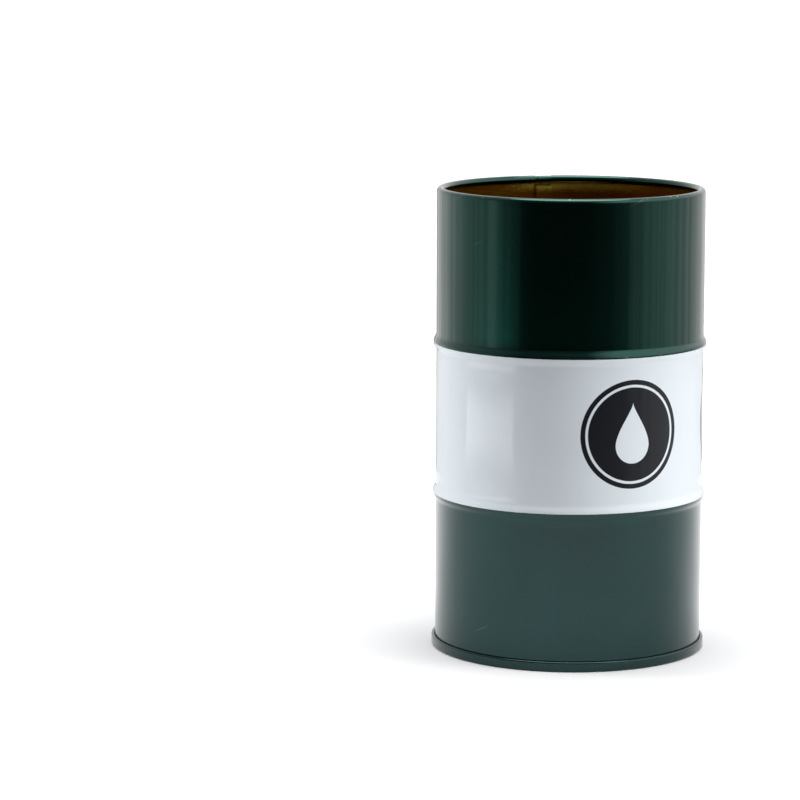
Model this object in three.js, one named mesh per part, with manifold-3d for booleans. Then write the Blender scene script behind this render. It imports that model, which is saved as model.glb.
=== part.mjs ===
// A drum-shaped tin can: an open-topped cylinder of tinplate with two rolled hoops and a curled rim,
// closed below by a bottom end that is double-seamed to it. Millimetres, +Z up. The origin is the
// centre of the ring that the can stands on. The front faces -Y, and the side seam is at the back.
import * as THREE from "three";
import { mergeVertices } from "three/addons/utils/BufferGeometryUtils.js";
import Module from "manifold-3d";

const wasm = await Module();
wasm.setup();

// Driving dimensions of the rolled body.
const BODY_DIAMETER = 66; // outside of the plain wall
const CAN_HEIGHT = 114.3; // underside of the double seam to the top of the rim
const BODY_SHEET = 0.25; // gauge of the body's tinplate
const CURL_DIAMETER = 2; // outside of the rim's inward curl
const CURL_SWEEP = THREE.MathUtils.degToRad(300); // how far round the edge is rolled
const HOOP_LEVELS = [38.7, 76.1]; // heights of the hoops' crests
const HOOP_HEIGHT = 0.7; // how far a crest stands out of the wall
const HOOP_WIDTH = 4.4; // height of wall that one hoop takes up
const SIDE_SEAM_WIDTH = 4; // width of the folded lock seam
const SIDE_SEAM_LAYERS = 3; // sheets that the lock seam adds inside the wall
const SIDE_SEAM_TURN = THREE.MathUtils.degToRad(190); // from the front (-Y) towards +X
const SIDE_SEAM_END_GAP = 0.3; // clearance from the seam's ends to the curl and to the bottom end

// Driving dimensions of the bottom end and of the double seam that holds it.
const END_SHEET = 0.25; // gauge of the end's tinplate
const LAYER_GAP = 0.05; // clearance between neighbouring layers of the double seam
const SEAM_LENGTH = 2.5; // height of the double seam
const SEAM_CORNER = 0.4; // bend radius at the foot of the seam, to the middle of the sheet
const COMPOUND_HEIGHT = 0.4; // height of the bead of sealing compound in the seam
const COUNTERSINK_DEPTH = 4.4; // foot of the seam to the top of the ridge round the panel
const COUNTERSINK_BEND = 0.6; // bend radius of that ridge, to the middle of the sheet
const PANEL_RECESS = 2.8; // foot of the seam to the underside of the panel
const PANEL_BEND = 0.5; // bend radius at the panel's edge, to the middle of the sheet
const RING_RADIUS = 24; // middle of the panel's expansion ring
const RING_WIDTH = 5;
const RING_HEIGHT = 0.5; // how far the ring is pressed down out of the panel

// Fineness of the facets.
const SEGMENTS = 48; // around the axis
const BEND_STEP = THREE.MathUtils.degToRad(30); // longest step along a bend
const ROUNDING = 1e-6; // share of a step, so that a bend of whole steps doesn't gain one

// Headings in the section plane, where 0 points away from the axis.
const UP = Math.PI / 2;
const DOWN = -Math.PI / 2;
const HALF_TURN = Math.PI;
const QUARTER_TURN = Math.PI / 2;

const bodyRadius = BODY_DIAMETER / 2;
const wallMiddle = bodyRadius - BODY_SHEET / 2;

// The five layers of the double seam, from the inside out: chuck wall, body wall, end hook, body hook
// and seaming wall. Two neighbours of different pieces are this far apart, middle to middle.
const layerPitch = (BODY_SHEET + END_SHEET) / 2 + LAYER_GAP;
const chuckWallMiddle = wallMiddle - layerPitch;
const endHookMiddle = wallMiddle + layerPitch;
const bodyHookMiddle = endHookMiddle + layerPitch;
const seamingWallMiddle = bodyHookMiddle + layerPitch;

// Both hooks are half turns about the layer that they hold.
const bodyHookLevel = END_SHEET + LAYER_GAP + layerPitch + BODY_SHEET / 2;
const endHookLevel = SEAM_LENGTH - layerPitch - END_SHEET / 2;

// The middle of a sheet's section, drawn as straight runs and bends in the (radius, height) plane.
class SheetPath {
  constructor(radius, height, heading) {
    this.at = new THREE.Vector2(radius, height);
    this.heading = heading;
    this.stations = [];
    this.mark();
  }

  left() {
    return new THREE.Vector2(-Math.sin(this.heading), Math.cos(this.heading));
  }

  mark() {
    this.stations.push({ at: this.at.clone(), left: this.left() });
  }

  run(length) {
    this.at.x += length * Math.cos(this.heading);
    this.at.y += length * Math.sin(this.heading);
    this.mark();
    return this;
  }

  // A positive turn bends to the left.
  bend(radius, turn) {
    const reach = radius * Math.sign(turn);
    const centre = this.at.clone().addScaledVector(this.left(), reach);
    const steps = Math.ceil(Math.abs(turn) / BEND_STEP - ROUNDING);
    for (let i = 0; i < steps; i++) {
      this.heading += turn / steps;
      this.at = centre.clone().addScaledVector(this.left(), -reach);
      this.mark();
    }
    return this;
  }

  // A smooth bulge of four equal arcs. Side is 1 to bulge to the left and -1 to the right.
  bulge(height, width, side) {
    const lean = side * 2 * Math.atan((2 * height) / width);
    const radius = width / (4 * Math.abs(Math.sin(lean)));
    this.bend(radius, lean).bend(radius, -lean);
    return this.bend(radius, -lean).bend(radius, lean);
  }

  // The points of the sheet's two faces, at these distances from the middle, and in opposite order.
  faces(leftReach, rightReach) {
    const right = this.stations.map((s) => s.at.clone().addScaledVector(s.left, -rightReach));
    const left = this.stations.map((s) => s.at.clone().addScaledVector(s.left, leftReach));
    return { right, left: left.reverse() };
  }
}

// Revolves an outline about the axis, and stands the result up along +Z.
function revolve(outline) {
  return new THREE.LatheGeometry(outline, SEGMENTS).rotateX(QUARTER_TURN);
}

// A ring of sheet: its outline closes on itself.
function revolveRing(path, leftReach, rightReach) {
  const { right, left } = path.faces(leftReach, rightReach);
  return revolve([...right, ...left, right[0]]);
}

function solidOf(geometry) {
  const bare = geometry.clone().deleteAttribute("normal").deleteAttribute("uv");
  const merged = mergeVertices(bare);
  const vertProperties = merged.attributes.position.array;
  const triVerts = new Uint32Array(merged.index.array);
  return new wasm.Manifold(new wasm.Mesh({ numProp: 3, vertProperties, triVerts }));
}

function geometryOf(solid) {
  const { vertProperties, triVerts } = solid.getMesh();
  const geometry = new THREE.BufferGeometry();
  geometry.setAttribute("position", new THREE.BufferAttribute(vertProperties, 3));
  geometry.setIndex(new THREE.BufferAttribute(triVerts, 1));
  geometry.computeVertexNormals();
  return geometry;
}

// Takes a path that heads up the wall through the hoops and on to a height.
function climbWall(path, top) {
  for (const level of HOOP_LEVELS) {
    path.run(level - HOOP_WIDTH / 2 - path.at.y).bulge(HOOP_HEIGHT, HOOP_WIDTH, -1);
  }
  return path.run(top - path.at.y);
}

// The wall, from its hook in the double seam to the end of its curl.
function bodyWall() {
  const curlBend = (CURL_DIAMETER - BODY_SHEET) / 2;
  const hookTip = endHookLevel - LAYER_GAP;
  const path = new SheetPath(bodyHookMiddle, hookTip, DOWN);
  path.run(hookTip - bodyHookLevel).bend(layerPitch, -HALF_TURN);
  climbWall(path, CAN_HEIGHT - CURL_DIAMETER / 2);
  path.bend(curlBend, QUARTER_TURN).bend(curlBend, CURL_SWEEP - QUARTER_TURN);
  return revolveRing(path, BODY_SHEET / 2, BODY_SHEET / 2);
}

// The folded layers of the lock seam, which stand inside the wall and follow its hoops.
function sideSeam() {
  const bottom = COUNTERSINK_DEPTH + SIDE_SEAM_END_GAP;
  const top = CAN_HEIGHT - CURL_DIAMETER - SIDE_SEAM_END_GAP;
  const depth = (SIDE_SEAM_LAYERS + 0.5) * BODY_SHEET;
  const path = climbWall(new SheetPath(wallMiddle, bottom, UP), top);
  const window = new THREE.BoxGeometry(SIDE_SEAM_WIDTH, BODY_DIAMETER, CAN_HEIGHT)
    .translate(0, -bodyRadius, CAN_HEIGHT / 2)
    .rotateZ(SIDE_SEAM_TURN);
  return solidOf(revolveRing(path, depth, 0)).intersect(solidOf(window));
}

function bodyShell() {
  return geometryOf(solidOf(bodyWall()).add(sideSeam()));
}

// The pressed disc, from its hook in the double seam to the middle of its panel.
function bottomEnd() {
  const hookTip = bodyHookLevel + COMPOUND_HEIGHT + LAYER_GAP;
  const footMiddle = END_SHEET / 2;
  const footFlat = seamingWallMiddle - chuckWallMiddle - 2 * SEAM_CORNER;
  const ridgeLevel = COUNTERSINK_DEPTH - END_SHEET / 2 - COUNTERSINK_BEND;
  const panelMiddle = PANEL_RECESS + END_SHEET / 2;
  const path = new SheetPath(endHookMiddle, hookTip, UP);
  path.run(endHookLevel - hookTip).bend(layerPitch, -HALF_TURN);
  path.run(endHookLevel - footMiddle - SEAM_CORNER).bend(SEAM_CORNER, -QUARTER_TURN);
  path.run(footFlat).bend(SEAM_CORNER, -QUARTER_TURN);
  path.run(ridgeLevel - path.at.y).bend(COUNTERSINK_BEND, HALF_TURN);
  path.run(ridgeLevel - PANEL_BEND - panelMiddle).bend(PANEL_BEND, -QUARTER_TURN);
  path.run(path.at.x - RING_RADIUS - RING_WIDTH / 2).bulge(RING_HEIGHT, RING_WIDTH, 1);
  path.run(path.at.x);
  const { right, left } = path.faces(END_SHEET / 2, END_SHEET / 2);
  const outline = [...left, ...right];
  outline[0].x = 0; // both ends of the outline lie on the axis
  outline[outline.length - 1].x = 0;
  return revolve(outline);
}

// The bead of compound between the body's hook and the tip of the end's hook.
function seamCompound() {
  const path = new SheetPath(endHookMiddle, 0, UP).run(COMPOUND_HEIGHT);
  return revolveRing(path, END_SHEET / 2, END_SHEET / 2);
}

const GREEN_ENAMEL = { color: 0x14382e, roughness: 0.18, metalness: 0.1 };
const GREY_COMPOUND = { color: 0x6d6d68, roughness: 0.8, metalness: 0 };

function piece(name, geometry, finish) {
  const mesh = new THREE.Mesh(geometry, new THREE.MeshStandardMaterial(finish));
  mesh.name = name;
  return mesh;
}

const can = new THREE.Group();
can.add(piece("body_shell", bodyShell(), GREEN_ENAMEL));
can.add(piece("bottom_end", bottomEnd(), GREEN_ENAMEL));
const compound = piece("seam_compound", seamCompound(), GREY_COMPOUND);
compound.position.z = bodyHookLevel;
can.add(compound);

export default can;
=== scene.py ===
"""The looks of a drum-shaped oil can: an open tin of printed tinplate with rolled hoops round its wall.

Metres, +Z up, with the origin at the centre of the ring that the can stands on. The front faces -Y.
"""

import math

import bmesh
import bpy
import numpy as np
from mathutils import Matrix, Vector


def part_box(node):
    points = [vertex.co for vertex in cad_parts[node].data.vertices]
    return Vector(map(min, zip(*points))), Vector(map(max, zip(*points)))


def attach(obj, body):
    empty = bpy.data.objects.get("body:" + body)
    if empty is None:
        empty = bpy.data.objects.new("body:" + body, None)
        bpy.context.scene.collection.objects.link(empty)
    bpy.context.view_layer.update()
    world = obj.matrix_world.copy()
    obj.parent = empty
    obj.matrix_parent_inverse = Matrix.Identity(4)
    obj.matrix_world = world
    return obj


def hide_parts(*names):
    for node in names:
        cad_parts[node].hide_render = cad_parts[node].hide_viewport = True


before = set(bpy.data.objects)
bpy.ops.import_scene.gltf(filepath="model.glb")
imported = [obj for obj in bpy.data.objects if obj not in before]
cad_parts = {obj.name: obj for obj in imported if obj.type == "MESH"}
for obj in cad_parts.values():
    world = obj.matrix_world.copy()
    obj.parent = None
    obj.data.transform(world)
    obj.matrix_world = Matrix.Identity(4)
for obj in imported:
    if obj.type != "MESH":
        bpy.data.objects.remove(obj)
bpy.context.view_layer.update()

MM = 0.001

# Sizes of the sheets and of their folds.
SHEET = 0.25 * MM
LAYER_GAP = 0.05 * MM
CURL_DIAMETER = 2 * MM
CURL_SWEEP = math.radians(300)
HOOP_LEVELS = (38.7 * MM, 76.1 * MM)
HOOP_HEIGHT = 0.7 * MM
HOOP_WIDTH = 4.4 * MM
SEAM_LENGTH = 2.5 * MM
SEAM_CORNER = 0.4 * MM
COMPOUND_HEIGHT = 0.4 * MM
COUNTERSINK_BEND = 0.6 * MM
PANEL_RECESS = 2.8 * MM
PANEL_BEND = 0.5 * MM
RING_RADIUS = 24 * MM
RING_WIDTH = 5 * MM
RING_HEIGHT = 0.5 * MM

# Places that the frame gives.
HOOP_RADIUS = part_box("body_shell")[1].x
CAN_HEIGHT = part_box("body_shell")[1].z
COUNTERSINK_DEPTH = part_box("bottom_end")[1].z
BODY_RADIUS = HOOP_RADIUS - HOOP_HEIGHT
WALL_MIDDLE = BODY_RADIUS - SHEET / 2
LAYER_PITCH = SHEET + LAYER_GAP
CHUCK_WALL_MIDDLE = WALL_MIDDLE - LAYER_PITCH
END_HOOK_MIDDLE = WALL_MIDDLE + LAYER_PITCH
BODY_HOOK_MIDDLE = END_HOOK_MIDDLE + LAYER_PITCH
SEAMING_WALL_MIDDLE = BODY_HOOK_MIDDLE + LAYER_PITCH
BODY_HOOK_LEVEL = SHEET + LAYER_GAP + LAYER_PITCH + SHEET / 2
END_HOOK_LEVEL = SEAM_LENGTH - LAYER_PITCH - SHEET / 2

# The folded side seam, on the inside of the wall at the back.
SIDE_SEAM_TURN = math.radians(190)  # from the front (-Y) towards +X
SIDE_SEAM_HALF_WIDTH = 2 * MM
SIDE_SEAM_DEPTH = 3 * SHEET
SIDE_SEAM_SHOULDER = 0.22 * MM  # width of the rounded edge of the folded layers
SIDE_SEAM_END_GAP = 0.3 * MM
SIDE_SEAM_RAMP = 0.4 * MM  # height over which its layers end
SIDE_SEAM_BOTTOM = COUNTERSINK_DEPTH + SIDE_SEAM_END_GAP
SIDE_SEAM_TOP = CAN_HEIGHT - CURL_DIAMETER - SIDE_SEAM_END_GAP
FOLD_LINE_DEPTH = 0.14 * MM  # groove that the fold leaves outside
FOLD_LINE_HALF_WIDTH = 0.16 * MM

# The curl round the rim.
CURL_MIDDLE_RADIUS = BODY_RADIUS - CURL_DIAMETER / 2
CURL_MIDDLE_LEVEL = CAN_HEIGHT - CURL_DIAMETER / 2
CURL_PINCH = 0.08  # how much smaller the curl is where it crosses the seam, as a share

# Fineness of the meshes.
TURN_STEPS = 320
RUN_STEP = 2.2 * MM
BEND_STEP = math.radians(9)
ROUNDING = 1e-6  # of a step, so that rounding never adds one
SHOULDER_POINTS = 13  # round the can, across each edge of the side seam
SEAM_POINTS = 9  # across the side seam's flat
SEAM_INSET = 1.6 * SIDE_SEAM_SHOULDER  # from an edge of the side seam to the first of those
SEAM_MARGIN = 0.5 * MM  # past the side seam, where the even spacing starts
SHARP_ANGLE = math.radians(40)
WELD_REACH = 1e-7

# Waves in the wall that a rolled sheet keeps: height, number round the can, number up the wall and phase.
WALL_WAVES = (
    (0.022 * MM, 3, 0.7, 0.4),
    (0.014 * MM, 5, 1.3, 2.1),
    (0.010 * MM, 9, 2.6, 4.4),
    (0.007 * MM, 14, 4.2, 1.3),
)
WAVE_SHIFT = 1.7  # how far the waves up the wall are shifted, for each unit of phase
WAVE_MARGIN = 6 * MM  # the double seam and the curl hold the wall round over this height

UP = math.pi / 2
DOWN = -math.pi / 2
HALF_TURN = math.pi
QUARTER_TURN = math.pi / 2


class SheetPath:
    """The middle of a sheet's section, drawn as straight runs and bends in the (radius, height) plane."""

    def __init__(self, radius, height, heading):
        self.at = np.array([radius, height])
        self.heading = heading
        self.stations = []
        self.mark()

    def forward(self):
        return np.array([math.cos(self.heading), math.sin(self.heading)])

    def left(self):
        return np.array([-math.sin(self.heading), math.cos(self.heading)])

    def mark(self):
        self.stations.append((self.at.copy(), self.left()))

    def run(self, length):
        steps = max(1, math.ceil(length / RUN_STEP))
        for _ in range(steps):
            self.at = self.at + self.forward() * length / steps
            self.mark()
        return self

    def bend(self, radius, turn):
        """A positive turn bends to the left."""
        reach = radius * math.copysign(1, turn)
        centre = self.at + self.left() * reach
        steps = math.ceil(abs(turn) / BEND_STEP - ROUNDING)
        for _ in range(steps):
            self.heading += turn / steps
            self.at = centre - self.left() * reach
            self.mark()
        return self

    def bulge(self, height, width, side):
        """A smooth bulge of four equal arcs. Side is 1 to bulge to the left and -1 to the right."""
        lean = side * 2 * math.atan(2 * height / width)
        radius = width / (4 * abs(math.sin(lean)))
        for turn in (lean, -lean, -lean, lean):
            self.bend(radius, turn)
        return self

    def run_up_to(self, height):
        return self.run(height - self.at[1])


def body_path():
    """The wall, from its hook in the double seam to the end of its curl."""
    curl_bend = (CURL_DIAMETER - SHEET) / 2
    hook_tip = END_HOOK_LEVEL - LAYER_GAP
    path = SheetPath(BODY_HOOK_MIDDLE, hook_tip, DOWN)
    path.run(hook_tip - BODY_HOOK_LEVEL).bend(LAYER_PITCH, -HALF_TURN)
    path.run_up_to(SIDE_SEAM_BOTTOM).run(SIDE_SEAM_RAMP)
    for level in HOOP_LEVELS:
        path.run_up_to(level - HOOP_WIDTH / 2).bulge(HOOP_HEIGHT, HOOP_WIDTH, -1)
    path.run_up_to(SIDE_SEAM_TOP - SIDE_SEAM_RAMP).run(SIDE_SEAM_RAMP)
    path.run_up_to(CAN_HEIGHT - CURL_DIAMETER / 2)
    return path.bend(curl_bend, QUARTER_TURN).bend(curl_bend, CURL_SWEEP - QUARTER_TURN)


def end_path():
    """The bottom end, from its hook in the double seam to the middle of its panel."""
    hook_tip = BODY_HOOK_LEVEL + COMPOUND_HEIGHT + LAYER_GAP
    foot_flat = SEAMING_WALL_MIDDLE - CHUCK_WALL_MIDDLE - 2 * SEAM_CORNER
    ridge_level = COUNTERSINK_DEPTH - SHEET / 2 - COUNTERSINK_BEND
    panel_middle = PANEL_RECESS + SHEET / 2
    path = SheetPath(END_HOOK_MIDDLE, hook_tip, UP)
    path.run_up_to(END_HOOK_LEVEL).bend(LAYER_PITCH, -HALF_TURN)
    path.run(END_HOOK_LEVEL - SHEET / 2 - SEAM_CORNER).bend(SEAM_CORNER, -QUARTER_TURN)
    path.run(foot_flat).bend(SEAM_CORNER, -QUARTER_TURN)
    path.run_up_to(ridge_level).bend(COUNTERSINK_BEND, HALF_TURN)
    path.run(ridge_level - PANEL_BEND - panel_middle).bend(PANEL_BEND, -QUARTER_TURN)
    path.run(path.at[0] - RING_RADIUS - RING_WIDTH / 2).bulge(RING_HEIGHT, RING_WIDTH, 1)
    return path.run(path.at[0])


def smooth_step(value, low, high):
    share = np.clip((value - low) / (high - low), 0, 1)
    return share * share * (3 - 2 * share)


def rounded_step(value, low, high):
    """Rises from 0 to 1 between low and high as a quarter circle does, as a folded edge's shoulder."""
    share = np.clip((value - low) / (high - low), 0, 1)
    return np.sqrt(1 - (1 - share) ** 2)


def turn_angles():
    """Angles round the axis, evenly spaced but closer together across the side seam."""
    shoulder = np.linspace(-1, 1, SHOULDER_POINTS) * SIDE_SEAM_SHOULDER
    flat = np.linspace(-1, 1, SEAM_POINTS) * (SIDE_SEAM_HALF_WIDTH - SEAM_INSET)
    fine = np.concatenate([shoulder - SIDE_SEAM_HALF_WIDTH, shoulder + SIDE_SEAM_HALF_WIDTH, flat])
    near = np.sort(fine) / BODY_RADIUS
    margin = near[-1] + SEAM_MARGIN / BODY_RADIUS
    step = 2 * math.pi / TURN_STEPS
    around = np.arange(margin, 2 * math.pi - margin + step / 2, step)
    return np.concatenate([near, around])


def side_seam_offset(angle):
    """Distance along the wall from the middle of the side seam."""
    return ((angle + math.pi) % (2 * math.pi) - math.pi) * BODY_RADIUS


def wall_wave(angle, height):
    """How far the waves push the wall out."""
    wave = np.zeros(np.broadcast(angle, height).shape)
    for depth, around, up, phase in WALL_WAVES:
        rise = 2 * math.pi * up * height / CAN_HEIGHT
        wave += depth * np.sin(around * angle + phase) * np.cos(rise + WAVE_SHIFT * phase)
    held = smooth_step(height, SEAM_LENGTH, SEAM_LENGTH + WAVE_MARGIN)
    held = held * (1 - smooth_step(height, CAN_HEIGHT - WAVE_MARGIN, CAN_HEIGHT - CURL_DIAMETER))
    return wave * held


def pinched(radius, height, level, seam):
    """The curl's point, drawn in towards its middle where it crosses the side seam. Seam is 1 there."""
    rise = np.clip((level - CURL_MIDDLE_LEVEL + CURL_DIAMETER) / CURL_DIAMETER, 0, 1)
    share = CURL_PINCH * seam * rise
    radius = radius + (CURL_MIDDLE_RADIUS - radius) * share
    height = height + (CURL_MIDDLE_LEVEL - height) * share * (level > CURL_MIDDLE_LEVEL)
    return radius, height


def shape_body(angle, at, left, side):
    """Radius and height of the body's surface point, with the side seam, the pinched curl and the waves."""
    offset = side_seam_offset(angle)
    from_edge = SIDE_SEAM_HALF_WIDTH - np.abs(offset)
    seam = rounded_step(from_edge, -SIDE_SEAM_SHOULDER, SIDE_SEAM_SHOULDER)
    from_end = min(at[1] - SIDE_SEAM_BOTTOM, SIDE_SEAM_TOP - at[1])
    inside = np.clip(from_end / SIDE_SEAM_RAMP, 0, 1)
    reach = np.full_like(angle, side * SHEET / 2)
    if side > 0:
        reach = reach + SIDE_SEAM_DEPTH * seam * inside
    else:
        groove = np.exp(-(((offset - SIDE_SEAM_HALF_WIDTH) / FOLD_LINE_HALF_WIDTH) ** 2))
        reach = reach + FOLD_LINE_DEPTH * groove * (at[1] > SEAM_LENGTH)
    radius, height = pinched(at[0] + left[0] * reach, at[1] + left[1] * reach, at[1], seam)
    return radius + wall_wave(angle + SIDE_SEAM_TURN, height), height


def shape_plain(angle, at, left, side):
    """Radius and height of a surface point of a sheet with nothing but its thickness."""
    reach = side * SHEET / 2
    return np.full_like(angle, at[0] + left[0] * reach), np.full_like(angle, at[1] + left[1] * reach)


def surface_rings(path, shape):
    """Rings of points round the axis, along the sheet's right face and then back along its left face."""
    angles = turn_angles()
    turn = angles + SIDE_SEAM_TURN
    right = [(at, left, -1) for at, left in path.stations]
    left_face = [(at, left, 1) for at, left in reversed(path.stations)]
    rings = []
    for at, left, side in right + left_face:
        radius, height = shape(angles, at, left, side)
        rings.append(np.stack([radius * np.sin(turn), -radius * np.cos(turn), height], axis=1))
    return rings


def band_slots(count, closed):
    """Material slots of the bands between the rings: along the right face, over a cut edge, back along the
    left face and over a cut edge. A path that isn't closed ends on the axis and has no band there."""
    slots = [0] * (count - 1) + [2] + [1] * (count - 1) + [2]
    if not closed:
        slots[count - 1] = None
    return slots


def revolve(name, path, shape, materials, closed):
    """Turns a sheet's section about the axis. The materials are those of its right face, its left face and
    its cut edges. A path that isn't closed ends on the axis."""
    rings = surface_rings(path, shape)
    around = len(rings[0])
    quads = []
    slots = []
    for i, slot in enumerate(band_slots(len(path.stations), closed)):
        if slot is None:
            continue
        j = (i + 1) % len(rings)
        for k in range(around):
            n = (k + 1) % around
            quads.append((i * around + k, i * around + n, j * around + n, j * around + k))
            slots.append(slot)
    mesh = bpy.data.meshes.new(name)
    mesh.from_pydata(np.concatenate(rings).tolist(), [], quads)
    for material in materials:
        mesh.materials.append(material)
    mesh.polygons.foreach_set("material_index", slots)
    if not closed:
        weld(mesh)
    mesh.shade_smooth()
    mesh.set_sharp_from_angle(angle=SHARP_ANGLE)
    piece = bpy.data.objects.new(name, mesh)
    bpy.context.scene.collection.objects.link(piece)
    return piece


def weld(mesh):
    """Joins the points that meet on the axis."""
    shell = bmesh.new()
    shell.from_mesh(mesh)
    bmesh.ops.remove_doubles(shell, verts=shell.verts, dist=WELD_REACH)
    shell.to_mesh(mesh)
    shell.free()


NOISE_RANGE = (0.3, 0.7)  # nearly all of a noise's values lie between these
SPECK_CORE = 0.4  # share of a speck's radius over which it is at its full height


class NodeTree:
    """Short calls that add nodes to a material or a world and link them."""

    def __init__(self, owner):
        owner.use_nodes = True
        self.nodes = owner.node_tree.nodes
        self.links = owner.node_tree.links
        self.nodes.clear()

    def feed(self, socket, value):
        if isinstance(value, bpy.types.NodeSocket):
            self.links.new(value, socket)
        else:
            socket.default_value = value

    def math(self, operation, *values):
        node = self.nodes.new("ShaderNodeMath")
        node.operation = operation
        for socket, value in zip(node.inputs, values):
            self.feed(socket, value)
        return node.outputs[0]

    def split(self, vector):
        node = self.nodes.new("ShaderNodeSeparateXYZ")
        self.feed(node.inputs[0], vector)
        return node.outputs

    def join(self, x, y, z):
        node = self.nodes.new("ShaderNodeCombineXYZ")
        for socket, value in zip(node.inputs, (x, y, z)):
            self.feed(socket, value)
        return node.outputs[0]

    def noise(self, vector, scale, detail=2.0, roughness=0.5):
        node = self.nodes.new("ShaderNodeTexNoise")
        self.feed(node.inputs["Vector"], vector)
        self.feed(node.inputs["Scale"], scale)
        self.feed(node.inputs["Detail"], detail)
        self.feed(node.inputs["Roughness"], roughness)
        return node.outputs["Fac"]

    def specks(self, vector, scale, size, share):
        """Round specks in this share of a grid's cells. The size is the speck's part of its cell."""
        node = self.nodes.new("ShaderNodeTexVoronoi")
        self.feed(node.inputs["Vector"], vector)
        self.feed(node.inputs["Scale"], scale)
        dot = self.remap(node.outputs["Distance"], size * SPECK_CORE, size, 1.0, 0.0)
        pick = self.math("LESS_THAN", self.split(node.outputs["Color"])[0], share)
        return self.math("MULTIPLY", dot, pick)

    def turn_of(self, x, y):
        """The angle round the can's axis, from the front (-Y) towards +X."""
        return self.math("ARCTAN2", x, self.math("MULTIPLY", y, -1.0))

    def length(self, x, y):
        """The length of a flat vector."""
        squares = self.math("ADD", self.math("MULTIPLY", x, x), self.math("MULTIPLY", y, y))
        return self.math("SQRT", squares)

    def remap(self, value, low, high, to_low=0.0, to_high=1.0):
        node = self.nodes.new("ShaderNodeMapRange")
        node.interpolation_type = "SMOOTHSTEP"
        for socket, number in zip(node.inputs, (value, low, high, to_low, to_high)):
            self.feed(socket, number)
        return node.outputs[0]

    def spread(self, noise, to_low=0.0, to_high=1.0):
        """The usual values of a noise, spread between two limits."""
        return self.remap(noise, *NOISE_RANGE, to_low, to_high)

    def mix(self, share, first, second):
        """Colours, mixed by a share from 0 to 1."""
        node = self.nodes.new("ShaderNodeMix")
        node.data_type = "RGBA"
        self.feed(node.inputs["Factor"], share)
        colours = [socket for socket in node.inputs if socket.type == "RGBA"]
        self.feed(colours[0], first)
        self.feed(colours[1], second)
        return next(socket for socket in node.outputs if socket.type == "RGBA")


class Look(NodeTree):
    """A material."""

    def __init__(self, name):
        self.material = bpy.data.materials.new(name)
        super().__init__(self.material)
        self.shader = self.nodes.new("ShaderNodeBsdfPrincipled")
        output = self.nodes.new("ShaderNodeOutputMaterial")
        self.links.new(self.shader.outputs["BSDF"], output.inputs["Surface"])
        self.place = self.nodes.new("ShaderNodeTexCoord").outputs["Object"]

    def turn(self):
        x, y, z = self.split(self.place)
        return self.turn_of(x, y)

    def from_axis(self):
        x, y, z = self.split(self.place)
        return self.length(x, y)

    def bump(self, height, depth):
        node = self.nodes.new("ShaderNodeBump")
        node.inputs["Strength"].default_value = 1.0
        node.inputs["Distance"].default_value = depth
        self.links.new(height, node.inputs["Height"])
        return node.outputs["Normal"]

    def set(self, **values):
        for name, value in values.items():
            self.feed(self.shader.inputs[name.replace("_", " ")], value)
        return self.material


def colour(red, green, blue):
    return (red, green, blue, 1.0)


def grey(light):
    return colour(light, light, light)


GREEN_INK = colour(0.0012, 0.064, 0.046)  # above the white band
DEEP_GREEN_INK = colour(0.0010, 0.056, 0.040)
SHADED_LOWER_GREEN_INK = colour(0.0012, 0.039, 0.037)  # darker below it: painted shade that dims the floor's reflection there
SHADED_LOWER_DEEP_GREEN_INK = colour(0.0010, 0.034, 0.032)
WHITE_INK = colour(0.73, 0.785, 0.83)
DEEP_WHITE_INK = colour(0.70, 0.76, 0.80)
BLACK_INK = colour(0.010, 0.011, 0.015)
BARE_TIN = colour(0.55, 0.55, 0.53)
# Painted highlight: the pale gold inside, under the rim at the back.
HIGHLIGHT_GOLD = colour(0.95, 0.86, 0.14)
GOLD = colour(0.38, 0.175, 0.006)
DEEP_GOLD = colour(0.32, 0.13, 0.004)
STEEL = colour(0.42, 0.41, 0.39)
DARK_STEEL = colour(0.28, 0.27, 0.26)
RUBBER = colour(0.16, 0.16, 0.15)
DARK_RUBBER = colour(0.12, 0.12, 0.115)

# Fineness of the noises, in features a metre.
PEEL_SCALE = 900.0
SAG_SCALE = 160.0
DUST_SCALE = 260.0
RUB_SCALE = 420.0
INK_CLOUD_SCALE = 45.0
WHITE_CLOUD_SCALE = 30.0
GOLD_CLOUD_SCALE = 55.0
ENAMEL_SCALE = 500.0
WOBBLE_SCALE = 2500.0
PRINT_GRAIN_SCALE = 1400.0
GOLD_GRAIN_SCALE = 2600.0
STEEL_SCALE = 6000.0
RUBBER_SCALE = 3500.0

# The varnish, and the gloss of what lies under it.
VARNISH_ROUGHNESS = 0.03
VARNISH_IOR = 1.45
VARNISH_RELIEF = 0.004 * MM
INK_SPECULAR = 0.1  # the ink lies under the varnish, so it has almost no gloss of its own
GREEN_ROUGHNESS = 0.19
WHITE_ROUGHNESS = 0.3
PRINT_GRAIN_DEPTH = 0.06  # added to the roughness at the most
ENAMEL_ROUGHNESS = (0.25, 0.33)
PEEL_HEIGHT = 0.25  # as a share of the sag's, as is the next
DUST_HEIGHT = 0.9
DUST_SIZE = 0.05  # of a speck, as a share of its cell
DUST_SHARE = 0.10  # of the cells
ROUND_STRETCH = 0.02  # the smaller, the further the print's grain is drawn out round the can

# Wear: scratches that climb round the can, and rubbed spots.
SCRATCH_SLOPE = 0.45
SCRATCH_GRAIN = (0.035, 1.6)  # features a millimetre, along a scratch and across it
SCRATCH_RANGE = (0.735, 0.775)  # of the noise, so only its highest peaks are scratches
SCRATCH_DEPTH = 0.25  # share of the ink that a scratch takes
CREST_REACH = (0.15, 0.55)  # mm from a crest, between which the rubbing ends
RUB_RANGE = (0.63, 0.70)

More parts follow.
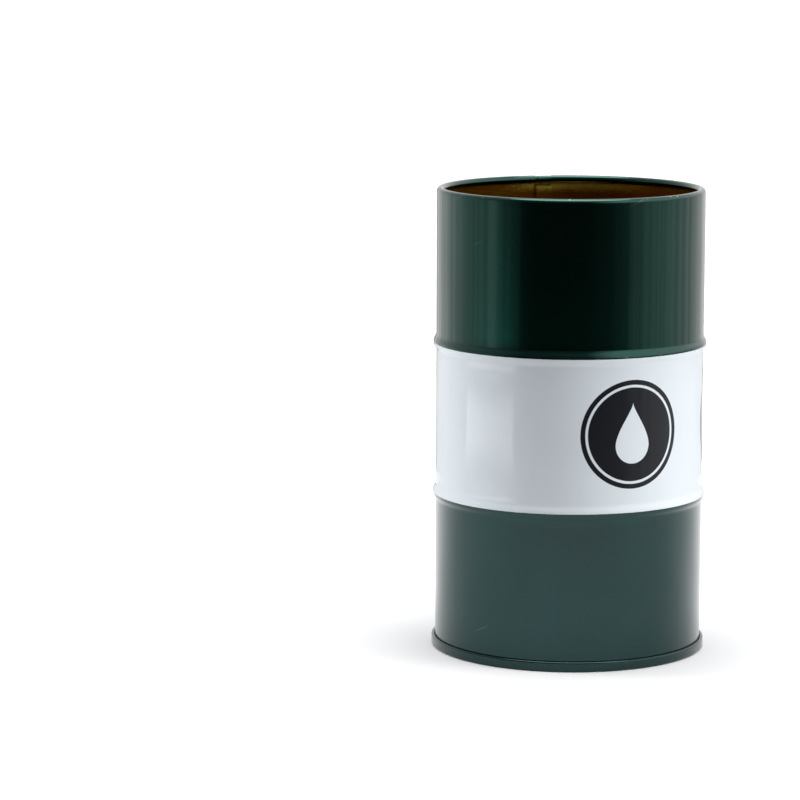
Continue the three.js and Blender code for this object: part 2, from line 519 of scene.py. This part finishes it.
# The print, in millimetres and angles from the front.
PRINT_EDGE = 0.05  # over which an edge of the print fades
EDGE_WOBBLE = 0.08
BADGE_TURNS = (math.radians(25), math.radians(97), math.radians(245))
BADGE_LEVEL = 57.6
BADGE_RADIUS = 13.2
BADGE_RING_RADIUS = 11.7
BADGE_RING_HALF_WIDTH = 0.32
DROP_RADIUS = 4.5
DROP_CENTRE = -2.6
DROP_TIP = 7.6
DROP_POWERS = (1.7, 1.45)  # the first keeps the drop full, and the second draws out its tip
SCALE_TURN = math.radians(143)
SCALE_HALF_HEIGHT = 13.0
SPINE_HALF_WIDTH = 0.18
SMALL_TICK = (2.0, 2.2, 0.12)  # spacing, length and half the width
LARGE_TICK = (10.0, 4.2, 0.2)
BLANK_HALF_WIDTH = 0.45  # of the line without ink along the side seam's fold
BLANK_WOBBLE = 0.3
BLANK_TOP = (CAN_HEIGHT - 2 * CURL_DIAMETER) / MM

# The lacquer inside.
GOLD_METAL = 0.9
GOLD_ROUGHNESS = (0.15, 0.23)
GOLD_CLOUD_ROUGHNESS = 0.05  # added at the most
GOLD_STRETCH = (0.004, 0.05)  # the smaller, the further its grain is drawn out, round the can and along X
GOLD_GRAIN_HEIGHT = 0.5  # as a share of the sag's
LACQUER_RELIEF = 0.003 * MM
LACQUER_COAT = 0.35
LACQUER_COAT_ROUGHNESS = 0.06
# A painted highlight on the inner wall under the rim at the back: paler gold and rougher lacquer.
HIGHLIGHT_DEPTH = (2.4 * MM, 4.7 * MM)  # below the top of the rim, between which the painted highlight fades out downwards
HIGHLIGHT_TURN = math.radians(174)
HIGHLIGHT_WIDTH = (6, 22)  # mm round the wall from that direction, between which the painted highlight fades out too
HIGHLIGHT_CLOUDING = (0.2, 0.8, 1.0, 0.6)  # the clouds' range, and how much of the painted highlight they leave
HIGHLIGHT_ROUGHNESS = 0.2  # added where the painted highlight is strongest

STEEL_ROUGHNESS = (0.35, 0.6)
RUBBER_ROUGHNESS = (0.7, 0.85)
RUBBER_RELIEF = 0.02 * MM


def paint_depth(look):
    """Height of the varnish: orange peel, a slow sag and a few specks of dust under it."""
    peel = look.noise(look.place, PEEL_SCALE)
    sag = look.noise(look.place, SAG_SCALE, 1.0)
    dust = look.specks(look.place, DUST_SCALE, DUST_SIZE, DUST_SHARE)
    relief = look.math("ADD", look.math("MULTIPLY", peel, PEEL_HEIGHT), sag)
    return look.math("ADD", relief, look.math("MULTIPLY", dust, DUST_HEIGHT))


def scratch_share(look, around, up):
    """Share of ink that hair scratches take."""
    along = look.math("ADD", around, look.math("MULTIPLY", up, SCRATCH_SLOPE))
    across = look.math("SUBTRACT", up, look.math("MULTIPLY", around, SCRATCH_SLOPE))
    along = look.math("MULTIPLY", along, SCRATCH_GRAIN[0])
    across = look.math("MULTIPLY", across, SCRATCH_GRAIN[1])
    lines = look.noise(look.join(along, across, 0.0), 1.0, 3.0)
    return look.math("MULTIPLY", look.remap(lines, *SCRATCH_RANGE), SCRATCH_DEPTH)


def rubbed_share(look, up):
    """Share of ink rubbed off in spots on the crests of the hoops, the rim and the foot."""
    crest = 0.0
    for level in (HOOP_LEVELS[0], HOOP_LEVELS[1], CAN_HEIGHT, 0.0):
        off = look.math("ABSOLUTE", look.math("SUBTRACT", up, level / MM))
        crest = look.math("MAXIMUM", crest, look.remap(off, *CREST_REACH, 1.0, 0.0))
    spots = look.remap(look.noise(look.place, RUB_SCALE, 4.0, 0.7), *RUB_RANGE)
    return look.math("MULTIPLY", crest, spots)


def distance_around(look, turn, place):
    """Millimetres round the wall from a place given as an angle."""
    offset = look.math("WRAP", look.math("SUBTRACT", turn, place), -math.pi, math.pi)
    return look.math("MULTIPLY", offset, BODY_RADIUS / MM)


def bar_mask(look, value, half_width):
    """1 where a value lies within half a width of nought."""
    off = look.math("ABSOLUTE", value)
    return look.remap(off, half_width - PRINT_EDGE, half_width + PRINT_EDGE, 1.0, 0.0)


def drop_distance(look, around, up):
    """How far a point lies outside an oil drop, which is round below and tapers to a tip."""
    rise = look.math("SUBTRACT", up, DROP_CENTRE)
    share = look.math("DIVIDE", rise, DROP_TIP - DROP_CENTRE)
    share = look.math("MINIMUM", look.math("MAXIMUM", share, 0.0), 1.0)
    full, drawn_out = DROP_POWERS
    taper = look.math("POWER", look.math("SUBTRACT", 1.0, look.math("POWER", share, full)), drawn_out)
    inner = look.length(around, look.math("MINIMUM", rise, 0.0))
    aside = look.math("SUBTRACT", inner, look.math("MULTIPLY", taper, DROP_RADIUS))
    return look.math("MAXIMUM", aside, look.math("SUBTRACT", up, DROP_TIP))


def badge_mask(look, around, up):
    """A dark roundel with a thin ring and an oil drop left white, in millimetres from its centre."""
    span = look.length(around, up)
    disc = look.remap(span, BADGE_RADIUS - PRINT_EDGE, BADGE_RADIUS + PRINT_EDGE, 1.0, 0.0)
    off_ring = look.math("ABSOLUTE", look.math("SUBTRACT", span, BADGE_RING_RADIUS))
    ring = look.remap(off_ring, BADGE_RING_HALF_WIDTH - PRINT_EDGE, BADGE_RING_HALF_WIDTH + PRINT_EDGE)
    outside_drop = look.remap(drop_distance(look, around, up), -PRINT_EDGE, PRINT_EDGE)
    return look.math("MULTIPLY", look.math("MULTIPLY", disc, ring), outside_drop)


def tick_mask(look, around, up, spacing, length, half_width):
    beat = look.math("PINGPONG", up, spacing / 2)
    across = bar_mask(look, look.math("SUBTRACT", around, length / 2), length / 2)
    return look.math("MULTIPLY", bar_mask(look, beat, half_width), across)


def scale_mask(look, around, up):
    """An upright scale of plain ticks, as a filling gauge, in millimetres from its middle."""
    spine = bar_mask(look, around, SPINE_HALF_WIDTH)
    small = tick_mask(look, around, up, *SMALL_TICK)
    large = tick_mask(look, around, up, *LARGE_TICK)
    marks = look.math("MAXIMUM", spine, look.math("MAXIMUM", small, large))
    return look.math("MULTIPLY", marks, bar_mask(look, up, SCALE_HALF_HEIGHT))


def white_share(look, level):
    """1 between the hoops' crests, where the print is white."""
    low, high = (hoop / MM for hoop in HOOP_LEVELS)
    above = look.remap(level, low - PRINT_EDGE, low + PRINT_EDGE)
    below = look.remap(level, high - PRINT_EDGE, high + PRINT_EDGE, 1.0, 0.0)
    return look.math("MULTIPLY", above, below)


def black_share(look, turn, up, edge):
    """The badges and the scale."""
    nearest = BODY_RADIUS * math.pi / MM
    for place in BADGE_TURNS:
        offset = look.math("ABSOLUTE", distance_around(look, turn, place))
        nearest = look.math("MINIMUM", nearest, offset)
    from_middle = look.math("SUBTRACT", up, BADGE_LEVEL)
    badge = badge_mask(look, nearest, look.math("ADD", from_middle, edge))
    scale = scale_mask(look, distance_around(look, turn, SCALE_TURN), from_middle)
    return look.math("MAXIMUM", badge, scale)


def blank_share(look, turn, up, wobble):
    """The bare line along the side seam's fold, from the foot to just under the rim."""
    from_fold = distance_around(look, turn, SIDE_SEAM_TURN + SIDE_SEAM_HALF_WIDTH / BODY_RADIUS)
    from_fold = look.math("ADD", from_fold, look.math("MULTIPLY", wobble, BLANK_WOBBLE))
    below_rim = look.math("LESS_THAN", up, BLANK_TOP)
    return look.math("MULTIPLY", bar_mask(look, from_fold, BLANK_HALF_WIDTH), below_rim)


def green_mottle(look):
    cloud = look.spread(look.noise(look.place, INK_CLOUD_SCALE, 3.0))
    upper = look.mix(cloud, GREEN_INK, DEEP_GREEN_INK)
    # Below half the height the green is darker: painted shade that dims the floor's reflection in the lower
    # wall.
    shaded_lower = look.mix(cloud, SHADED_LOWER_GREEN_INK, SHADED_LOWER_DEEP_GREEN_INK)
    is_upper = look.math("GREATER_THAN", look.split(look.place)[2], CAN_HEIGHT / 2)
    return look.mix(is_upper, shaded_lower, upper)


def printed_colour(look, white, black):
    tint = look.mix(look.spread(look.noise(look.place, WHITE_CLOUD_SCALE)), WHITE_INK, DEEP_WHITE_INK)
    banded = look.mix(white, green_mottle(look), tint)
    return look.mix(look.math("MULTIPLY", black, white), banded, BLACK_INK)


def rolled_grain(look, turn, up):
    """Fine grain drawn out round the can."""
    stretched = look.math("MULTIPLY", turn, ROUND_STRETCH)
    return look.noise(look.join(stretched, 0.0, look.math("MULTIPLY", up, MM)), PRINT_GRAIN_SCALE)


def varnish(look):
    normal = look.bump(paint_depth(look), VARNISH_RELIEF)
    look.set(Normal=normal, Coat_Normal=normal, Specular_IOR_Level=INK_SPECULAR)
    return look.set(Coat_Weight=1.0, Coat_Roughness=VARNISH_ROUGHNESS, Coat_IOR=VARNISH_IOR)


def printed_tin():
    """Varnished print: a white band between the hoops' crests, dark green above and below it."""
    look = Look("printed_tin")
    up = look.math("DIVIDE", look.split(look.place)[2], MM)
    turn = look.turn()
    wobble = look.math("SUBTRACT", look.noise(look.place, WOBBLE_SCALE, 1.0), 0.5)
    edge = look.math("MULTIPLY", wobble, EDGE_WOBBLE)
    white = white_share(look, look.math("ADD", up, edge))
    ink = printed_colour(look, white, black_share(look, turn, up, edge))
    scratched = scratch_share(look, distance_around(look, turn, 0.0), up)
    worn = look.math("MAXIMUM", scratched, rubbed_share(look, up))
    worn = look.math("MAXIMUM", worn, blank_share(look, turn, up, wobble))
    grain = look.math("MULTIPLY", rolled_grain(look, turn, up), PRINT_GRAIN_DEPTH)
    gloss = look.math("ADD", look.remap(white, 0.0, 1.0, GREEN_ROUGHNESS, WHITE_ROUGHNESS), grain)
    metal = look.math("MAXIMUM", look.math("SUBTRACT", 1.0, white), worn)
    look.set(Base_Color=look.mix(worn, ink, BARE_TIN), Metallic=metal, Roughness=gloss)
    return varnish(look)


def green_tin():
    """Dark green enamel under varnish."""
    look = Look("green_tin")
    gloss = look.spread(look.noise(look.place, ENAMEL_SCALE, 3.0), *ENAMEL_ROUGHNESS)
    look.set(Base_Color=green_mottle(look), Metallic=1.0, Roughness=gloss)
    return varnish(look)


def painted_highlight_patch(look, height):
    """A painted highlight under the rim at the back: 1 where it is brightest."""
    lit_patch = look.remap(height, CAN_HEIGHT - HIGHLIGHT_DEPTH[1], CAN_HEIGHT - HIGHLIGHT_DEPTH[0])
    aside = look.math("ABSOLUTE", distance_around(look, look.turn(), HIGHLIGHT_TURN))
    return look.math("MULTIPLY", lit_patch, look.remap(aside, *HIGHLIGHT_WIDTH, 1.0, 0.0))


def gold_lacquer():
    """Clear gold lacquer over bright tin, a little uneven, with fine grain drawn out round the can, and a
    painted highlight under the rim at the back.
    """
    look = Look("gold_lacquer")
    x, y, z = look.split(look.place)
    round_can = look.math("MULTIPLY", look.turn(), GOLD_STRETCH[0])
    along_x = look.math("MULTIPLY", x, GOLD_STRETCH[1])
    grain = look.noise(look.join(round_can, along_x, z), GOLD_GRAIN_SCALE)
    cloud = look.noise(look.place, GOLD_CLOUD_SCALE, 3.0)
    # Painted highlight: paler and rougher lacquer under the rim at the back.
    lit_patch = painted_highlight_patch(look, z)
    pale = look.math("MULTIPLY", lit_patch, look.remap(cloud, *HIGHLIGHT_CLOUDING))
    gold = look.mix(pale, look.mix(look.spread(cloud), GOLD, DEEP_GOLD), HIGHLIGHT_GOLD)
    clouding = look.math("MULTIPLY", cloud, GOLD_CLOUD_ROUGHNESS)
    gloss = look.math("ADD", look.spread(grain, *GOLD_ROUGHNESS), clouding)
    gloss = look.math("ADD", gloss, look.math("MULTIPLY", lit_patch, HIGHLIGHT_ROUGHNESS))
    height = look.math("ADD", look.math("MULTIPLY", grain, GOLD_GRAIN_HEIGHT), paint_depth(look))
    normal = look.bump(height, LACQUER_RELIEF)
    look.set(Base_Color=gold, Metallic=GOLD_METAL, Roughness=gloss, Normal=normal)
    return look.set(Coat_Weight=LACQUER_COAT, Coat_Roughness=LACQUER_COAT_ROUGHNESS)


def cut_steel():
    """The bare edge of a cut sheet."""
    look = Look("cut_steel")
    grit = look.noise(look.place, STEEL_SCALE, 3.0)
    steel = look.mix(grit, STEEL, DARK_STEEL)
    return look.set(Base_Color=steel, Roughness=look.spread(grit, *STEEL_ROUGHNESS), Metallic=1.0)


def sealing_rubber():
    """Matt grey sealing compound."""
    look = Look("sealing_rubber")
    grit = look.noise(look.place, RUBBER_SCALE, 4.0)
    normal = look.bump(grit, RUBBER_RELIEF)
    tone = look.mix(grit, RUBBER, DARK_RUBBER)
    return look.set(Base_Color=tone, Roughness=look.spread(grit, *RUBBER_ROUGHNESS), Normal=normal)


# ---- The can ----

printed = printed_tin()
enamel = green_tin()
lacquer = gold_lacquer()
bare = cut_steel()

body = revolve("printed_body", body_path(), shape_body, (printed, lacquer, bare), closed=True)
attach(body, "root")
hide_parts("body_shell")

end = revolve("pressed_bottom", end_path(), shape_plain, (lacquer, enamel, bare), closed=False)
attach(end, "root")
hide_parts("bottom_end")

rubber = sealing_rubber()
compound_path = SheetPath(END_HOOK_MIDDLE, BODY_HOOK_LEVEL, UP).run(COMPOUND_HEIGHT)
compound = revolve("compound_bead", compound_path, shape_plain, (rubber, rubber, rubber), closed=True)
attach(compound, "root")
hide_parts("seam_compound")

# ---- The stage ----

PAPER = colour(0.94, 0.94, 0.95)
BRIGHT_PAPER = colour(0.96, 0.96, 0.96)
# Painted shadow: the grey of the paper round the can's foot.
PAINTED_SHADOW_PAPER = colour(0.82, 0.825, 0.83)
# Painted shade: the floor that the can's varnish shows, greyer than the one the camera sees.
SHADED_MIRRORED_PAPER = colour(0.66, 0.66, 0.67)
PAPER_SCALE = 6.0  # clouds a metre
PAPER_ROUGHNESS = 0.9
PAPER_GLOW = 0.05
PAINTED_SHADOW_RADIUS = 0.10  # where the painted shadow round the can ends
FLOOR_RADIUS = 6.0
MIRRORED_RADIUS = 0.26
MIRRORED_DROP = 0.05 * MM  # below the floor that the camera sees
DISC_SIDES = 96

# Brightness of the studio round the can, by degrees from the front (-Y) towards +X. The can's wall shows
# the low part to anyone who looks down at it, and close pairs of degrees are crisp edges in it.
LOW_WALLS = (
    (-180, 0.85),
    (-172, 0.85),
    (-171, 0.35),
    (-167, 0.35),
    (-166, 0.85),
    (-127, 0.88),
    (-111, 0.70),
    (-98, 0.58),
    (-84, 0.48),
    (-78, 0.50),
    (-76, 0.72),
    (-69, 0.70),
    (-67, 0.30),
    (-62, 0.19),
    (-57, 0.15),
    (-56, 0.24),
    (-54, 0.12),
    (-46, 0.10),
    (-45.4, 0.015),
    (19, 0.02),
    (19.6, 0.035),
    (34.6, 0.04),
    (35.4, 0.085),
    (47.6, 0.10),
    (48.4, 0.26),
    (61, 0.42),
    (72, 0.59),
    (83, 0.65),
    (95, 0.70),
    (127, 0.67),
    (147, 0.84),
)
HIGH_WALLS = (
    (-180, 0.7),
    (-135, 0.55),
    (-90, 0.35),
    (-48, 0.08),
    (16, 0.10),
    (42, 1.2),
    (90, 1.2),
    (135, 0.8),
    (180, 0.7),
)
STREAKS = (0.6, 1.0)  # upright streaks of shade on the low walls, least and most
STREAK_SCALE = 70.0  # streaks round the room
STREAK_RANGE = (0.35, 0.65)

# Heights of a direction between which the high walls take over from the low ones, and the ceiling from them.
HIGH_FROM = math.sin(math.radians(2))
HIGH_FULL = math.sin(math.radians(14))
CEILING_FROM = math.sin(math.radians(50))
CEILING_FULL = math.sin(math.radians(65))
CEILING_LIGHT = 0.55
BACKGROUND_LIGHT = 1.0

CARD_SPAN = (0.28, 0.50)  # distances from the axis
CARD_FADE = 0.09  # over which a card dims towards its near and its far edge
CARD_STEPS = 11
OVERHEAD_SPREAD = math.radians(50)


def pale_floor():
    """White paper, lit a little from below, with a painted shadow: greyer near the can."""
    look = Look("pale_floor")
    tone = look.mix(look.noise(look.place, PAPER_SCALE), PAPER, BRIGHT_PAPER)
    painted_shadow = look.remap(look.from_axis(), BODY_RADIUS, PAINTED_SHADOW_RADIUS, 1.0, 0.0)
    look.set(Base_Color=look.mix(painted_shadow, tone, PAINTED_SHADOW_PAPER), Roughness=PAPER_ROUGHNESS)
    look.set(Emission_Color=grey(1.0), Emission_Strength=PAPER_GLOW)
    return look.set(Specular_IOR_Level=0.0)


def mirrored_floor():
    """The grey paper that the can's varnish shows in place of the floor: painted shade, darker than the
    floor the camera sees.
    """
    look = Look("mirrored_floor")
    return look.set(Base_Color=SHADED_MIRRORED_PAPER, Roughness=PAPER_ROUGHNESS, Specular_IOR_Level=0.0)


def flat_disc(name, radius, height, material):
    disc = bmesh.new()
    bmesh.ops.create_circle(disc, cap_ends=True, segments=DISC_SIDES, radius=radius)
    mesh = bpy.data.meshes.new(name)
    disc.to_mesh(mesh)
    disc.free()
    mesh.materials.append(material)
    piece = bpy.data.objects.new(name, mesh)
    piece.location.z = height
    bpy.context.scene.collection.objects.link(piece)
    return piece


def floor_card(name, first_turn, last_turn, light):
    """A glowing card on the floor, between two directions round the can. Only reflections show it."""
    near, far = CARD_SPAN
    look = Look(name)
    span = look.from_axis()
    begins = look.remap(span, near, near + CARD_FADE, 0.0, light)
    glow = look.math("MULTIPLY", begins, look.remap(span, far - CARD_FADE, far, 1.0, 0.0))
    look.set(Base_Color=grey(0.0), Emission_Color=grey(1.0), Emission_Strength=glow)
    turns = np.radians(np.linspace(first_turn, last_turn, CARD_STEPS + 1))
    corners = [(r * math.sin(t), -r * math.cos(t), 0.0) for r in (near, far) for t in turns]
    row = len(turns)
    faces = [(i, i + 1, row + i + 1, row + i) for i in range(CARD_STEPS)]
    mesh = bpy.data.meshes.new(name)
    mesh.from_pydata(corners, [], faces)
    mesh.materials.append(look.material)
    card = bpy.data.objects.new(name, mesh)
    card.visible_camera = False
    card.visible_diffuse = False
    card.visible_shadow = False
    bpy.context.scene.collection.objects.link(card)


class Studio(NodeTree):
    """The world: white to the camera, and to the can a room that is dark towards the front."""

    def __init__(self):
        world = bpy.data.worlds.new("studio")
        bpy.context.scene.world = world
        super().__init__(world)
        x, y, z = self.split(self.nodes.new("ShaderNodeTexCoord").outputs["Generated"])
        share = self.math("ADD", self.math("DIVIDE", self.turn_of(x, y), 2 * math.pi), 0.5)
        high = self.remap(z, HIGH_FROM, HIGH_FULL)
        noise = self.noise(self.join(share, 0.0, 0.0), STREAK_SCALE, 3.0)
        streaks = self.remap(noise, *STREAK_RANGE, *STREAKS)
        low_walls = self.mix(streaks, grey(0.0), self.ramp(share, LOW_WALLS))
        walls = self.mix(high, low_walls, self.ramp(share, HIGH_WALLS))
        room = self.mix(self.remap(z, CEILING_FROM, CEILING_FULL), walls, grey(CEILING_LIGHT))
        seen = self.nodes.new("ShaderNodeMixShader")
        self.feed(seen.inputs[0], self.nodes.new("ShaderNodeLightPath").outputs["Is Camera Ray"])
        self.feed(seen.inputs[1], self.glow(room))
        self.feed(seen.inputs[2], self.glow(grey(BACKGROUND_LIGHT)))
        output = self.nodes.new("ShaderNodeOutputWorld")
        self.feed(output.inputs["Surface"], seen.outputs[0])

    def ramp(self, share, lights):
        """The light in a direction, given as a share of a turn that starts and ends at the back."""
        node = self.nodes.new("ShaderNodeValToRGB")
        self.feed(node.inputs[0], share)
        stops = node.color_ramp.elements
        while len(stops) < len(lights):
            stops.new(0.5)
        for stop, (degrees, light) in zip(stops, lights):
            stop.position = degrees / 360 + 0.5
        for stop, (degrees, light) in zip(stops, lights):
            stop.color = grey(light)
        return node.outputs["Color"]

    def glow(self, light):
        node = self.nodes.new("ShaderNodeBackground")
        self.feed(node.inputs["Color"], light)
        return node.outputs[0]


def hang_lamp(name, kind, turn, rise, distance, power):
    """A lamp aimed at the can from a direction in degrees, round from the front and up."""
    lamp = bpy.data.lights.new(name, kind)
    lamp.energy = power
    holder = bpy.data.objects.new(name, lamp)
    across = math.cos(math.radians(rise)) * distance
    aim = Vector((0, 0, CAN_HEIGHT / 2))
    offset = Vector((
        across * math.sin(math.radians(turn)),
        -across * math.cos(math.radians(turn)),
        math.sin(math.radians(rise)) * distance,
    ))
    holder.location = aim + offset
    holder.rotation_euler = (-offset).to_track_quat("-Z", "Y").to_euler()
    holder.visible_camera = False
    bpy.context.scene.collection.objects.link(holder)
    return holder


def soft_box(name, turn, rise, distance, size, power):
    """A lamp that lights matt surfaces only, so that no bright square shows in the varnish."""
    holder = hang_lamp(name, "AREA", turn, rise, distance, power)
    holder.data.shape = "RECTANGLE"
    holder.data.size, holder.data.size_y = size
    holder.visible_glossy = False


# The camera sees the white floor, and the can's varnish shows the grey disc just under it, whose grey is
# painted shade.
floor = flat_disc("floor", FLOOR_RADIUS, 0.0, pale_floor())
floor.visible_glossy = False
floor.visible_diffuse = False
floor.visible_shadow = False
flat_disc("mirrored_floor", MIRRORED_RADIUS, -MIRRORED_DROP, mirrored_floor())
Studio()
soft_box("right_light", turn=75, rise=14, distance=1.1, size=(0.5, 0.5), power=6.5)
soft_box("left_light", turn=-102, rise=12, distance=1.1, size=(0.4, 0.4), power=7.8)
floor_card("left_card", first_turn=-98, last_turn=-49, light=2.1)
floor_card("back_card", first_turn=158, last_turn=190, light=1.2)
overhead = hang_lamp("overhead_light", "SUN", turn=180, rise=86, distance=1.5, power=2.0)
overhead.data.angle = OVERHEAD_SPREAD

# ---- The camera ----

CAMERA_PLACE = (-0.0419, -0.8732, 0.19495)
CAMERA_PITCH = math.radians(8.707)  # below the horizon, looking along +Y
CAMERA_ROLL = math.radians(0.14)
CAMERA_LENS = 160.4  # mm, as is the next
CAMERA_FRAME = 36
CAMERA_CLIP = (0.05, 50)


def place_camera():
    data = bpy.data.cameras.new("camera")
    data.lens = CAMERA_LENS
    data.sensor_width = CAMERA_FRAME
    data.clip_start, data.clip_end = CAMERA_CLIP
    camera = bpy.data.objects.new("camera", data)
    look_down = Matrix.Rotation(math.pi / 2 - CAMERA_PITCH, 4, "X")
    roll = Matrix.Rotation(CAMERA_ROLL, 4, "Z")
    camera.matrix_world = Matrix.Translation(CAMERA_PLACE) @ look_down @ roll
    bpy.context.scene.collection.objects.link(camera)
    bpy.context.scene.camera = camera


place_camera()
bpy.context.scene.view_settings.view_transform = "Standard"
